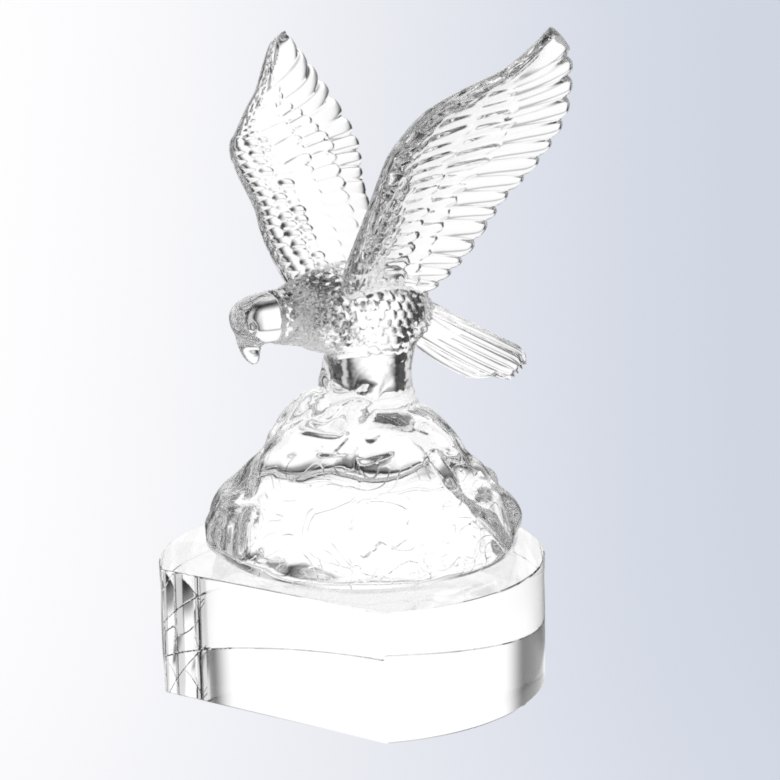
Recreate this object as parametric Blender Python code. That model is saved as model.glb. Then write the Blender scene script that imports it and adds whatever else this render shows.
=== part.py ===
"""Crystal eagle award: a pressed clear eagle landing on its rock, standing on a D-shaped crystal base.

Metres, +Z up. The origin is the middle of the round base's underside and the flat face of the base
looks along -Y. The eagle and its rock are one casting. They are drawn in the bird's own axes, +X the
way it flies, +Y its left, +Z up, and an empty turns those axes to where the bird looks.
"""
import math

import bmesh
import bpy
from mathutils import Matrix, Vector

# Base
BASE_RADIUS = 0.0570
BASE_HEIGHT = 0.0379
FLAT_FROM_AXIS = 0.0416
BASE_SEGMENTS = 96
EDGE_BEVEL = 0.0004
BEVELLED_FROM = math.radians(20.0)
CUT_TOLERANCE = 1e-6
GLUE_GAP = 0.0003

# Casting
ROCK_CENTRE_Y = 0.0080
BIRD_HEADING = math.radians(-110.0)
ROCK_FOOT = BASE_HEIGHT + GLUE_GAP
ROCK_SIDES = 40
BODY_SIDES = 20
BEAK_SIDES = 12
LEG_SIDES = 12
TOE_SIDES = 8
WING_RING = 14
WING_FEATHERS = 13
STEPS_PER_FEATHER = 4
SCALLOP_DEPTH = 0.0019
# The scallops are this sharp, and are full from this part of the wing's length on
SCALLOP_POWER = 3
SCALLOPS_FULL_FROM = 1.0 / 6.0

# Half the wing's thickness at its root and tip, and its hollow underside, in millimetres
WING_ROOT_HALF = 3.6
WING_TIP_HALF = 1.5
WING_CAMBER = 3.0
# How much fuller the leading edge is than the mean, and how much that falls over the chord
LEADING_FULLNESS = 1.35
TRAILING_LOSS = 0.85
# How far the wing's root goes on down and in towards the body's middle, in millimetres
ROOT_DROP = 7.0
ROOT_INWARD = 8.0
ROOT_SHRINK = 0.8

# The wing's distance from the bird's middle plane, as a curve of the height above the shoulder
SHOULDER_HEIGHT = 0.118
WING_REACH = 0.076
SHOULDER_SPREAD = 0.0130
TIP_SPREAD = 0.0621
SPREAD_BEND = -0.0078

MM = 0.001
SPLINE_SAMPLES = 400
# How far to look ahead and back along a spline, as a share of it, to find the way it runs
LOOK_AHEAD = 0.01
LIMB_LOOK_AHEAD = 0.02
STEEP = 0.95
RINGS_PER_STATION = 2

# Crystal
CLEAR = (1.0, 1.0, 1.0)
INDEX_OF_REFRACTION = 1.52
POLISHED_ROUGHNESS = 0.01
CAST_ROUGHNESS = 0.03
SHARP_FROM = math.radians(35.0)

# Rock: height above the rock's foot and radius there, in millimetres
ROCK_PROFILE = (
    (0.0, 44.0), (1.2, 45.4), (3.6, 46.4), (8.0, 46.6), (12.0, 45.8), (16.0, 44.3),
    (19.5, 41.7), (22.5, 37.4), (25.5, 33.2), (29.0, 29.2), (33.0, 26.4), (37.0, 23.2),
    (40.5, 19.0), (43.0, 13.0), (44.2, 6.0),
)
# The waves fade out below this height above the foot, and where the rock is narrower than this
WAVES_FULL_RISE = 6.0
WAVES_FULL_RADIUS = 20.0
# Waves that make the rock uneven: how many round it, how deep, turn, and turn per metre of height
ROCK_WAVES = ((1, 1.6, 0.6, 0.0), (3, 0.9, 0.6, 20.0), (5, 0.8, 2.1, -45.0), (9, 0.45, 4.0, 60.0))
# Ledges under the feet, in millimetres: centre and half sizes, forward, left and height
LEDGES = (
    ((14.0, -6.0, 70.5), (11.5, 11.0, 9.0)),
    ((8.0, 9.0, 73.0), (12.0, 10.0, 8.0)),
    ((-14.8, 3.0, 70.5), (10.5, 12.5, 9.5)),
)
LEDGE_TURN = 0.4
LEDGE_AXIS = (1.0, 2.0, 3.0)
LEDGE_SUBDIVISIONS = 3

# Body from rump to brow, in millimetres: forward, height, half width, half depth
BODY_STATIONS = (
    (-21.4, 106.0, 2.0, 1.8), (-19.8, 106.2, 5.5, 5.0), (-16.8, 106.8, 8.6, 8.2),
    (-12.0, 108.0, 11.0, 10.8), (-6.0, 109.4, 12.6, 12.6), (0.0, 110.4, 13.6, 13.4),
    (9.0, 111.4, 13.2, 13.2), (17.0, 111.8, 11.6, 11.4), (22.5, 112.2, 10.2, 9.6),
    (27.5, 112.0, 8.8, 8.0), (32.0, 112.3, 7.8, 7.3), (36.5, 112.0, 7.3, 7.0),
    (40.2, 111.2, 6.2, 6.3), (42.8, 110.4, 4.3, 4.8), (44.2, 109.8, 1.8, 2.2),
)
# Hooked beak, from inside the brow to its tip
BEAK_STATIONS = (
    (37.5, 111.0, 4.0, 4.0), (39.3, 107.6, 3.9, 4.2), (39.4, 104.9, 3.1, 3.5),
    (38.9, 102.5, 2.4, 2.8), (38.2, 100.7, 1.7, 2.0), (37.4, 99.3, 0.8, 1.0),
)
# Belly and thighs down to the rock
TRUNK_STATIONS = (
    (-2.0, 108.0, 12.0, 14.4), (-1.8, 103.0, 11.6, 14.4), (-1.6, 98.0, 11.0, 13.6),
    (-1.6, 92.0, 10.6, 12.9), (-2.0, 86.0, 10.4, 13.0), (-2.4, 80.0, 11.4, 14.4),
    (-2.4, 72.0, 12.0, 15.0),
)
# Wing outlines in millimetres, forward and height, from the root to the tip
LEFT_WING_FRONT = (
    (16.0, 117.5), (18.8, 123.3), (20.3, 131.2), (22.0, 146.5), (23.2, 159.5), (21.2, 166.2),
    (16.6, 172.9), (6.6, 178.1), (-3.6, 182.0), (-10.8, 187.0), (-15.4, 190.8), (-18.4, 192.4),
)
LEFT_WING_BACK = (
    (-17.4, 114.4), (-23.4, 125.7), (-25.6, 136.0), (-27.0, 143.7), (-31.8, 151.4), (-34.6, 160.3),
    (-35.0, 168.0), (-32.4, 175.5), (-29.0, 182.2), (-25.3, 187.9), (-20.8, 191.7),
)
RIGHT_WING_FRONT = (
    (16.5, 115.0), (18.2, 122.0), (18.9, 132.0), (17.7, 139.0), (18.7, 148.0), (18.8, 153.0),
    (17.0, 156.8), (13.8, 159.5), (6.8, 165.9), (0.8, 171.0), (-5.8, 178.8), (-10.0, 183.2), (-12.8, 185.0),
)
RIGHT_WING_BACK = (
    (-17.4, 113.0), (-21.0, 124.0), (-22.6, 134.3), (-24.4, 143.0), (-28.0, 151.5), (-28.0, 158.5),
    (-26.2, 165.4), (-23.6, 172.4), (-21.2, 178.0), (-18.4, 182.6), (-15.2, 185.2),
)
# Tail fan: root and end corners in millimetres, forward, left and height
TAIL_ROOT_LEFT = (-16.0, 8.0, 112.8)
TAIL_ROOT_RIGHT = (-17.0, -8.0, 101.0)
TAIL_END_LEFT = (-57.5, 9.8, 90.2)
TAIL_END_RIGHT = (-57.0, -9.8, 75.6)
TAIL_FEATHERS = 7
TAIL_SECTIONS = 14
TAIL_ROUND_FROM = 0.84
TAIL_ROUND_TO = 1.04
TAIL_BULGE = 2.6
TAIL_ROOT_HALF = 2.0
TAIL_END_HALF = 0.9
TAIL_RIPPLE = 0.14
SIDES_PER_TAIL_FEATHER = 4

# Feet in millimetres and degrees: ankles, the way each toe points, and how far the toes reach
RIGHT_ANKLE = (8.5, -6.5, 87.0)
LEFT_ANKLE = (4.5, 7.5, 86.0)
TOE_TURNS = (-32.0, -1.0, 33.0)
TOE_REACH = 14.6
HIND_TOE_TURN = 176.0
HIND_TOE_REACH = 13.0
# The leg from the ankle up, in millimetres: how far back, share of the ankle's side distance, height
LEG_JOINTS = ((6.0, 0.75, 100.0), (3.0, 0.9, 93.0))
LEG_RADII = (6.0, 4.8, 3.4)
# A toe's path as shares of its reach and drops in millimetres, and its radius at each point
TOE_PATH = ((0.08, 2.4), (0.40, 4.0), (0.72, 7.2), (0.95, 11.0), (1.02, 15.6))
TOE_RADII = (2.6, 3.0, 2.6, 2.0, 0.8)


def clear_scene():
    for old in list(bpy.data.objects):
        bpy.data.objects.remove(old, do_unlink=True)


def crystal(name, tint, roughness):
    """Clear lead-free crystal: a plain see-through shader."""
    material = bpy.data.materials.new(name)
    material.use_nodes = True
    shader = material.node_tree.nodes["Principled BSDF"]
    shader.inputs["Base Color"].default_value = (*tint, 1.0)
    shader.inputs["Metallic"].default_value = 0.0
    shader.inputs["Roughness"].default_value = roughness
    shader.inputs["Transmission Weight"].default_value = 1.0
    shader.inputs["IOR"].default_value = INDEX_OF_REFRACTION
    return material


def new_object(name, bm, material, parent=None):
    """Turn a finished bmesh into a named object."""
    bmesh.ops.recalc_face_normals(bm, faces=bm.faces[:])
    mesh = bpy.data.meshes.new(name)
    bm.to_mesh(mesh)
    bm.free()
    mesh.materials.append(material)
    mesh.shade_smooth()
    mesh.set_sharp_from_angle(angle=SHARP_FROM)
    made = bpy.data.objects.new(name, mesh)
    bpy.context.scene.collection.objects.link(made)
    made.parent = parent
    return made


def spline(points, share):
    """A smooth curve through the points, read at a share of its way from 0 to 1."""
    last = len(points) - 1
    place = min(max(share, 0.0), 1.0) * last
    index = min(int(place), last - 1)
    t = place - index
    a, b, c, d = (Vector(points[min(max(index + k, 0), last)]) for k in (-1, 0, 1, 2))
    return 0.5 * (2 * b + (c - a) * t + (2 * a - 5 * b + 4 * c - d) * t**2 + (3 * b - a - 3 * c + d) * t**3)


def even_shares(points):
    """The length along the spline at evenly spaced shares, each from 0 to 1."""
    samples = SPLINE_SAMPLES
    places = [spline(points, k / samples) for k in range(samples + 1)]
    lengths = [0.0]
    for one, two in zip(places, places[1:]):
        lengths.append(lengths[-1] + (two - one).length)
    return [length / lengths[-1] for length in lengths]


def along(points, lengths, part):
    """The point at a part of the spline's length."""
    samples = len(lengths) - 1
    low = 0
    high = samples
    while high - low > 1:
        middle = (low + high) // 2
        if lengths[middle] > part:
            high = middle
        else:
            low = middle
    inside = (part - lengths[low]) / (lengths[high] - lengths[low])
    return spline(points, (low + inside) / samples)


def loft(rings):
    """A closed skin through rings of points, with a flat cap at both ends."""
    bm = bmesh.new()
    loops = []
    for ring in rings:
        verts = [bm.verts.new(point) for point in ring]
        loops.append(verts)
    for one, two in zip(loops, loops[1:]):
        for k in range(len(one)):
            after = (k + 1) % len(one)
            bm.faces.new((one[k], one[after], two[after], two[k]))
    bm.faces.new(loops[0][::-1])
    bm.faces.new(loops[-1])
    bmesh.ops.triangulate(bm, faces=bm.faces[:])
    return bm


def spine_rings(stations, sides):
    """Elliptical rings square to a spine that lies in the bird's middle plane."""
    count = (len(stations) - 1) * RINGS_PER_STATION
    rings = []
    for k in range(count + 1):
        share = k / count
        forward, height, half_width, half_depth = spline(stations, share)
        ahead = spline(stations, min(share + LOOK_AHEAD, 1.0))
        behind = spline(stations, max(share - LOOK_AHEAD, 0.0))
        way = Vector((ahead[0] - behind[0], 0.0, ahead[1] - behind[1])).normalized()
        side = Vector((0.0, 1.0, 0.0))
        up = side.cross(way)
        centre = Vector((forward, 0.0, height))
        turns = [2 * math.pi * j / sides for j in range(sides)]
        rings.append([
            (centre + side * half_width * math.cos(a) + up * half_depth * math.sin(a)) * MM for a in turns
        ])
    return rings


def make_base(material):
    """The D-shaped base: a disc with one flat face, and a fine bevel on every edge."""
    bm = bmesh.new()
    bmesh.ops.create_circle(bm, cap_ends=True, segments=BASE_SEGMENTS, radius=BASE_RADIUS)
    bmesh.ops.bisect_plane(
        bm, geom=bm.verts[:] + bm.edges[:] + bm.faces[:], dist=CUT_TOLERANCE,
        plane_co=(0.0, -FLAT_FROM_AXIS, 0.0), plane_no=(0.0, -1.0, 0.0), clear_outer=True,
    )
    raised = bmesh.ops.extrude_face_region(bm, geom=bm.faces[:])
    top = [item for item in raised["geom"] if isinstance(item, bmesh.types.BMVert)]
    bmesh.ops.translate(bm, verts=top, vec=(0.0, 0.0, BASE_HEIGHT))
    bmesh.ops.recalc_face_normals(bm, faces=bm.faces[:])
    sharp = [edge for edge in bm.edges if edge.calc_face_angle(0.0) > BEVELLED_FROM]
    bmesh.ops.bevel(bm, geom=sharp, offset=EDGE_BEVEL, segments=1, profile=0.5, affect="EDGES", material=-1)
    return new_object("crystal_base", bm, material)


def rock_rings():
    """Rings up the rock, each a circle made uneven by a few waves that fade out at the foot."""
    rings = []
    for rise, radius in ROCK_PROFILE:
        fade = min(rise / WAVES_FULL_RISE, 1.0)
        ring = []
        for k in range(ROCK_SIDES):
            turn = 2 * math.pi * k / ROCK_SIDES
            uneven = sum(
                depth * math.cos(count * turn + start + twist * rise * MM)
                for count, depth, start, twist in ROCK_WAVES
            )
            reach = radius + fade * uneven * min(radius / WAVES_FULL_RADIUS, 1.0)
            ring.append(Vector((reach * math.cos(turn), reach * math.sin(turn), rise)) * MM)
        rings.append([point + Vector((0.0, 0.0, ROCK_FOOT)) for point in ring])
    return rings


def wing_spread(height):
    """How far the wing's middle lies from the bird's middle plane at this height."""
    rise = (height - SHOULDER_HEIGHT) / WING_REACH
    return SHOULDER_SPREAD + TIP_SPREAD * rise + SPREAD_BEND * rise**2


def wing_rings(front, back, side):
    """Lens-shaped rings from root to tip, whose back ends draw the scallops of the feathers."""
    front_lengths = even_shares(front)
    back_lengths = even_shares(back)
    count = WING_FEATHERS * STEPS_PER_FEATHER
    rings = []
    for k in range(count + 1):
        part = k / count
        lead = along(front, front_lengths, part) * MM
        trail = along(back, back_lengths, part) * MM
        chord = trail - lead
        in_feather = abs((part * WING_FEATHERS) % 1.0 - 0.5) * 2.0
        notch = in_feather**SCALLOP_POWER * min(part / SCALLOPS_FULL_FROM, 1.0)
        trail = trail - chord.normalized() * SCALLOP_DEPTH * notch
        thick = (WING_ROOT_HALF - (WING_ROOT_HALF - WING_TIP_HALF) * part) * MM
        rings.append([wing_point(lead, trail, thick, 2 * math.pi * j / WING_RING, side)
                      for j in range(WING_RING)])
    inside = side * (SHOULDER_SPREAD - ROOT_INWARD * MM)
    root = [
        Vector((p.x * ROOT_SHRINK, inside + p.y - side * wing_spread(p.z), p.z - ROOT_DROP * MM))
        for p in rings[0]
    ]
    return [root] + rings


def wing_point(lead, trail, thick, turn, side):
    """A point of one ring: full at the leading edge and thin at the trailing edge."""
    across = 0.5 - 0.5 * math.cos(turn)
    place = lead + (trail - lead) * across
    half = thick * math.sin(turn) * (LEADING_FULLNESS - TRAILING_LOSS * across)
    camber = WING_CAMBER * MM * math.sin(math.pi * across)
    height = place[1]
    slope = (wing_spread(height + MM) - wing_spread(height)) / MM
    normal = Vector((0.0, 1.0, -slope)).normalized()
    offset = normal * (half - camber)
    return Vector((place[0], side * (wing_spread(height) + offset.y), height + offset.z))


def tail_rings():
    """Rings across the tail fan from its root to its rounded end."""
    rings = []
    sides = SIDES_PER_TAIL_FEATHER * TAIL_FEATHERS
    for k in range(TAIL_SECTIONS + 1):
        share = k / TAIL_SECTIONS
        left = Vector(TAIL_ROOT_LEFT).lerp(Vector(TAIL_END_LEFT), share)
        right = Vector(TAIL_ROOT_RIGHT).lerp(Vector(TAIL_END_RIGHT), share)
        out = (left - right).normalized()
        right = right - out * TAIL_BULGE * math.sin(math.pi * share)
        rounding = max(share - TAIL_ROUND_FROM, 0.0) / (TAIL_ROUND_TO - TAIL_ROUND_FROM)
        middle = (left + right) / 2
        half = (left - right) / 2 * math.sqrt(1.0 - rounding**2)
        along_tail = (Vector(TAIL_END_LEFT) - Vector(TAIL_ROOT_LEFT)).normalized()
        face = along_tail.cross(out)
        thick = TAIL_ROOT_HALF + (TAIL_END_HALF - TAIL_ROOT_HALF) * share
        ring = []
        for j in range(sides):
            turn = 2 * math.pi * j / sides
            ripple = 1.0 + TAIL_RIPPLE * math.cos(TAIL_FEATHERS * math.pi * (1.0 - math.cos(turn)))
            ring.append((middle + half * math.cos(turn) + face * thick * ripple * math.sin(turn)) * MM)
        rings.append(ring)
    return rings


def limb(path, radii, sides=TOE_SIDES):
    """A tapering round limb along a curved path, both in millimetres."""
    count = (len(path) - 1) * RINGS_PER_STATION
    stations = [(*point, radius) for point, radius in zip(path, radii)]
    rings = []
    for k in range(count + 1):
        share = k / count
        x, y, z, radius = spline(stations, share)
        ahead = spline(path, min(share + LIMB_LOOK_AHEAD, 1.0))
        behind = spline(path, max(share - LIMB_LOOK_AHEAD, 0.0))
        way = (ahead - behind).normalized()
        side = way.cross(Vector((0.0, 0.0, 1.0)) if abs(way.z) < STEEP else Vector((1.0, 0.0, 0.0)))
        side.normalize()
        up = side.cross(way)
        turns = [2 * math.pi * j / sides for j in range(sides)]
        rings.append([
            (Vector((x, y, z)) + (side * math.cos(a) + up * math.sin(a)) * radius) * MM for a in turns
        ])
    return loft(rings)


def toe(ankle, turn, reach):
    """A toe that leaves the ankle, arches over a knuckle and ends in a claw on the rock."""
    way = Vector((math.cos(turn), math.sin(turn), 0.0))
    start = Vector(ankle)
    path = [start + way * reach * out + Vector((0.0, 0.0, -drop)) for out, drop in TOE_PATH]
    return limb(path, TOE_RADII)


def ledge(centre, half):
    """A rounded ledge of the rock, turned a little so that no edge runs along an axis."""
    bm = bmesh.new()
    bmesh.ops.create_icosphere(bm, subdivisions=LEDGE_SUBDIVISIONS, radius=1.0)
    shape = Matrix.LocRotScale(Vector(centre) * MM, None, Vector(half) * MM)
    bmesh.ops.transform(bm, matrix=shape @ Matrix.Rotation(LEDGE_TURN, 4, LEDGE_AXIS), verts=bm.verts[:])
    return bm


def join(target, tool, solver):
    """Unite a helper solid with the casting."""
    tool.hide_render = True
    tool.display_type = "WIRE"
    union = target.modifiers.new(tool.name, "BOOLEAN")
    union.operation = "UNION"
    union.object = tool
    union.solver = solver


def make_casting(material):
    """The eagle with its rock, one piece of glass."""
    axes = bpy.data.objects.new("bird_axes", None)
    bpy.context.scene.collection.objects.link(axes)
    axes.location = (0.0, ROCK_CENTRE_Y, 0.0)
    axes.rotation_euler = (0.0, 0.0, BIRD_HEADING)

    casting = new_object("eagle_on_rock", loft(rock_rings()), material, axes)
    shapes = {
        "trunk": loft(spine_rings(TRUNK_STATIONS, BODY_SIDES)),
        "body": loft(spine_rings(BODY_STATIONS, BODY_SIDES)),
        "beak": loft(spine_rings(BEAK_STATIONS, BEAK_SIDES)),
        "left_wing": loft(wing_rings(LEFT_WING_FRONT, LEFT_WING_BACK, 1.0)),
        "right_wing": loft(wing_rings(RIGHT_WING_FRONT, RIGHT_WING_BACK, -1.0)),
        "tail": loft(tail_rings()),
    }
    for k, (centre, half) in enumerate(LEDGES):
        shapes[f"ledge_{k + 1}"] = ledge(centre, half)
    for name, bm in shapes.items():
        join(casting, new_object(name, bm, material, axes), "EXACT")

    # The toes cross one another at the ankle, where the exact solver leaves open edges
    feet = {}
    for side, ankle in (("left", LEFT_ANKLE), ("right", RIGHT_ANKLE)):
        joints = [(ankle[0] - back, ankle[1] * out, height) for back, out, height in LEG_JOINTS]
        feet[f"{side}_leg"] = limb((*joints, ankle), LEG_RADII, sides=LEG_SIDES)
        for k, turn in enumerate(TOE_TURNS):
            feet[f"{side}_toe_{k + 1}"] = toe(ankle, math.radians(turn), TOE_REACH)
        feet[f"{side}_hind_toe"] = toe(ankle, math.radians(HIND_TOE_TURN), HIND_TOE_REACH)
    for name, bm in feet.items():
        join(casting, new_object(name, bm, material, axes), "MANIFOLD")
    return casting


def main():
    clear_scene()
    make_base(crystal("base_crystal", CLEAR, POLISHED_ROUGHNESS))
    make_casting(crystal("cast_crystal", CLEAR, CAST_ROUGHNESS))


main()
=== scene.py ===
# %% [markdown]
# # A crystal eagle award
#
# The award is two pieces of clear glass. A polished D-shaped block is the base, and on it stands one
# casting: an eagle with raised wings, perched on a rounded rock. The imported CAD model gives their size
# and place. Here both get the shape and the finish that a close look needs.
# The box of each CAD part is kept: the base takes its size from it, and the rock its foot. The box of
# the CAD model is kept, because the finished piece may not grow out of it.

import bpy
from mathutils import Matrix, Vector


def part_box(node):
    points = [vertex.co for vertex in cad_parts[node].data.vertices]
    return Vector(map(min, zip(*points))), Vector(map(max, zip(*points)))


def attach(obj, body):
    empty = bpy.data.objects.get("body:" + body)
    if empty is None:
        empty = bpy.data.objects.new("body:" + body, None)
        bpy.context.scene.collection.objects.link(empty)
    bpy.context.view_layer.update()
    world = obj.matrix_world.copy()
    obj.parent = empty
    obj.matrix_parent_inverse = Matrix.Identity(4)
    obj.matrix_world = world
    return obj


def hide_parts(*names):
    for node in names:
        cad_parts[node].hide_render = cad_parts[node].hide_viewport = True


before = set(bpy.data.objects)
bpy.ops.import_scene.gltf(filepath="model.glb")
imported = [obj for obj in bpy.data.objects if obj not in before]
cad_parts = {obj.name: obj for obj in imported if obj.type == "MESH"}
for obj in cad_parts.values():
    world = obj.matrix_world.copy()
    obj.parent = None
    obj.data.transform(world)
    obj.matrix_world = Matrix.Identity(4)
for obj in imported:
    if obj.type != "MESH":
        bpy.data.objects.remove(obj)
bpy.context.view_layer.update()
base_low, base_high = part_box("crystal_base")
cast_low, cast_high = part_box("eagle_on_rock")
print("base", base_low, base_high, "casting", cast_low, cast_high)

# %% [markdown]
# ## The camera
#
# A product photograph is taken from some way off with a long lens, so that nothing is stretched. The
# camera here stands 0.7 m away and a little above the eagle, and leans by less than a degree. It could be
# aimed with a tracking constraint. But its three directions follow from the angles in a few lines, and go
# into its matrix as columns, so that nothing else has to be worked out when the picture is taken.

# %% Camera
import math
import bmesh
import bpy
import numpy as np
from mathutils import Matrix, Vector, noise

MM = 0.001
# Side of the picture and focal length in pixels, sensor and distances in millimetres
IMAGE_SIDE = 780
FOCAL_PIXELS = 2315.2
SENSOR = 36.0
CAMERA_TURN, CAMERA_RISE, CAMERA_LEAN = (math.radians(angle) for angle in (33.83, 13.09, -0.952))
CAMERA_BACK, CAMERA_RIGHT, CAMERA_UP = 694.8, 12.03, 85.08

scene = bpy.context.scene
back = Vector((
    math.sin(CAMERA_TURN) * math.cos(CAMERA_RISE), -math.cos(CAMERA_TURN) * math.cos(CAMERA_RISE),
    math.sin(CAMERA_RISE),
))
right = Vector((math.cos(CAMERA_TURN), math.sin(CAMERA_TURN), 0.0))
up = back.cross(right)
leaning_right = right * math.cos(CAMERA_LEAN) + up * math.sin(CAMERA_LEAN)
leaning_up = up * math.cos(CAMERA_LEAN) - right * math.sin(CAMERA_LEAN)
lens = bpy.data.cameras.new("camera")
lens.sensor_width = SENSOR
lens.lens = FOCAL_PIXELS / IMAGE_SIDE * SENSOR
camera = bpy.data.objects.new("camera", lens)
placing = Matrix((leaning_right, leaning_up, back)).transposed().to_4x4()
placing.translation = (back * CAMERA_BACK + right * CAMERA_RIGHT + up * CAMERA_UP) * MM
camera.matrix_world = placing
scene.collection.objects.link(camera)
scene.camera = camera
print("lens", round(lens.lens, 1), "mm, camera at", [round(value, 3) for value in placing.translation])

# %% [markdown]
# ## Nodes and colours
#
# Colours are picked on a screen, so they are sRGB hex values, while the renderer adds light and needs
# linear values. One function turns one into the other. A second one adds a node, with plain values and
# links given in the same way.

# %% Colour and node helpers
def linear(hex_colour):
    """Turn an sRGB hex colour into linear RGBA."""
    parts = [int(hex_colour[k:k + 2], 16) / 255 for k in (1, 3, 5)]
    return (*[p / 12.92 if p <= 0.04045 else ((p + 0.055) / 1.055) ** 2.4 for p in parts], 1.0)


def add(tree, kind, inputs=None, **settings):
    """Add a node: an input is a plain value or another node's output socket."""
    node = tree.nodes.new(kind)
    for name, value in settings.items():
        setattr(node, name, value)
    for name, value in (inputs or {}).items():
        if isinstance(value, bpy.types.NodeSocket):
            tree.links.new(value, node.inputs[name])
        else:
            node.inputs[name].default_value = value
    return node


def empty_tree(owner):
    """Clear the node tree of a material or a world."""
    owner.use_nodes = True
    owner.node_tree.nodes.clear()
    return owner.node_tree


print("white is", linear("#ffffff"))

# %% [markdown]
# ## The studio
#
# Clear glass has no colour of its own: it only bends what stands around it. Photographers light it from
# behind, with a bright field that fills the view and dark cards beyond it. Rays that pass nearly straight
# stay white, and rays that are bent strongly, at rims and feathers, reach the cards and draw black lines.
# Low down, where the thin wings look, the field is narrow, with a dim strip beside it for the head. Higher
# up it is wide, because the thick base and the rock gather light from there. Smaller panels stand all the
# way round, so that every side works.
#
# Lamps and cards could be modelled one by one. But every edge of theirs would show in the glass as a hard
# line, so each light is an eased ramp instead: a list of places and how bright it is there.

# %% Ramps and bearings
BEHIND = math.pi / 2 + CAMERA_TURN
HALF_TURN, QUARTER_TURN = 180.0, 90.0


def ramp(tree, value, low, high, stops):
    """Brightness that eases from stop to stop while a value runs from low to high."""
    share = add(tree, "ShaderNodeMapRange", {"Value": value, "From Min": low, "From Max": high})
    node = add(tree, "ShaderNodeValToRGB", {"Fac": share.outputs[0]})
    node.color_ramp.interpolation = "EASE"
    for k, (place, brightness) in enumerate(stops):
        position = (place - low) / (high - low)
        point = node.color_ramp.elements[k] if k < 2 else node.color_ramp.elements.new(position)
        point.position = position
        point.color = (brightness, brightness, brightness, 1.0)
    return node.outputs[0]


def combine(tree, one, two, operation="MULTIPLY"):
    """One step of arithmetic on two values."""
    return add(tree, "ShaderNodeMath", {0: one, 1: two}, operation=operation).outputs[0]


def circle_light(tree, turn, circle):
    """Brightness at a bearing in degrees."""
    return ramp(tree, turn, -HALF_TURN, HALF_TURN, circle)


def bearing(tree, x, y):
    """Degrees from the middle of the backdrop, -180 to 180."""
    turn = add(tree, "ShaderNodeMath", {0: y, 1: x}, operation="ARCTAN2").outputs[0]
    turn = combine(tree, combine(tree, turn, BEHIND + math.pi, "SUBTRACT"), 2 * math.pi, "FLOORED_MODULO")
    return combine(tree, combine(tree, turn, math.degrees(1.0)), HALF_TURN, "SUBTRACT")


print("the backdrop's middle lies at", round(math.degrees(BEHIND), 1), "degrees")

# %% Field and side panels
FULL = 1.1
# Brightness at bearings in degrees, counted from the middle of the backdrop to its left
FIELD = (
    (-33.0, 0.03), (-28.0, 0.65), (-24.0, 0.65), (-19.0, 0.03), (-5.0, FULL), (12.0, FULL), (25.0, 0.03),
)
# Panels around the award: middle, half width and brightness
SIDE_PANELS = ((-169.0, 8.0, 0.9), (-124.0, 8.0, 0.9), (-79.0, 4.0, 0.6), (56.0, 8.0, 0.9),
               (101.0, 8.0, 0.9), (146.0, 8.0, 0.9))
PANEL_FADE = 7.0
PANEL_GAP = 0.06
# The wide field higher up, which also sets the light on the table close by
HIGH_PANELS = ((-180.0, 0.6), (-84.0, 0.6), (-68.0, 0.1), (-48.0, 0.1), (-32.0, FULL), (40.0, FULL),
               (54.0, 0.12), (78.0, 0.12), (88.0, 0.7), (180.0, 0.7))

field = list(FIELD)
for middle, half, brightness in SIDE_PANELS:
    field += [(middle - half - PANEL_FADE, PANEL_GAP), (middle - half, brightness),
              (middle + half, brightness), (middle + half + PANEL_FADE, PANEL_GAP)]
field.sort()
print(len(SIDE_PANELS), "side panels,", len(field), "stops around the circle")

# %% [markdown]
# ## The light table
#
# Under the award lies a sheet of opal acrylic, lit from below and running out to the backdrop. The camera
# sees it as a pale sweep that turns from white to blue-grey across the picture. The glass sees where it
# is bright: under the base, close by, and far behind. One emission for each, chosen by the kind of ray,
# keeps the backdrop even while the glass has its dark lines.

# %% Light table
FLOOR_RADIUS, FLOOR_SIDES = 8.0, 96
FLOOR_DROP = 0.6 * MM

bm = bmesh.new()
bmesh.ops.create_circle(bm, cap_ends=True, segments=FLOOR_SIDES, radius=FLOOR_RADIUS)
bmesh.ops.translate(bm, verts=bm.verts, vec=(0.0, 0.0, -FLOOR_DROP))
floor_mesh = bpy.data.meshes.new("light_table")
bm.to_mesh(floor_mesh)
bm.free()
floor = bpy.data.objects.new("light_table", floor_mesh)
scene.collection.objects.link(floor)
print("light table", FLOOR_RADIUS, "m in radius")

# %% Opal acrylic
# Tones across the picture from left to right, with both ends first
BACKDROP = ((0.05, "#fffeff"), (0.92, "#d0d7e3"), (0.25, "#f8f8fb"), (0.54, "#e7e9f0"), (0.77, "#d7dce7"))
# How far the backdrop stands behind a point, and how fast its tones change
BACKDROP_REACH, BACKDROP_SPREAD = 0.8, 3.0
# Brightness at distances from the award in metres: under the base, near it, and further off
NEAR_SPAN, FAR_SPAN = 0.5, 1.0
UNDER_GLOW = ((0.0, 1.0), (0.062, 1.0), (0.07, 0.0), (NEAR_SPAN, 0.0))
NEAR_GLOW = ((0.0, 1.0), (0.112, 1.0), (0.14, 0.25), (0.165, 0.02), (NEAR_SPAN, 0.02))
FAR_GLOW = ((0.16, 0.0), (0.30, 1.0), (FAR_SPAN, 1.0))

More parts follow.
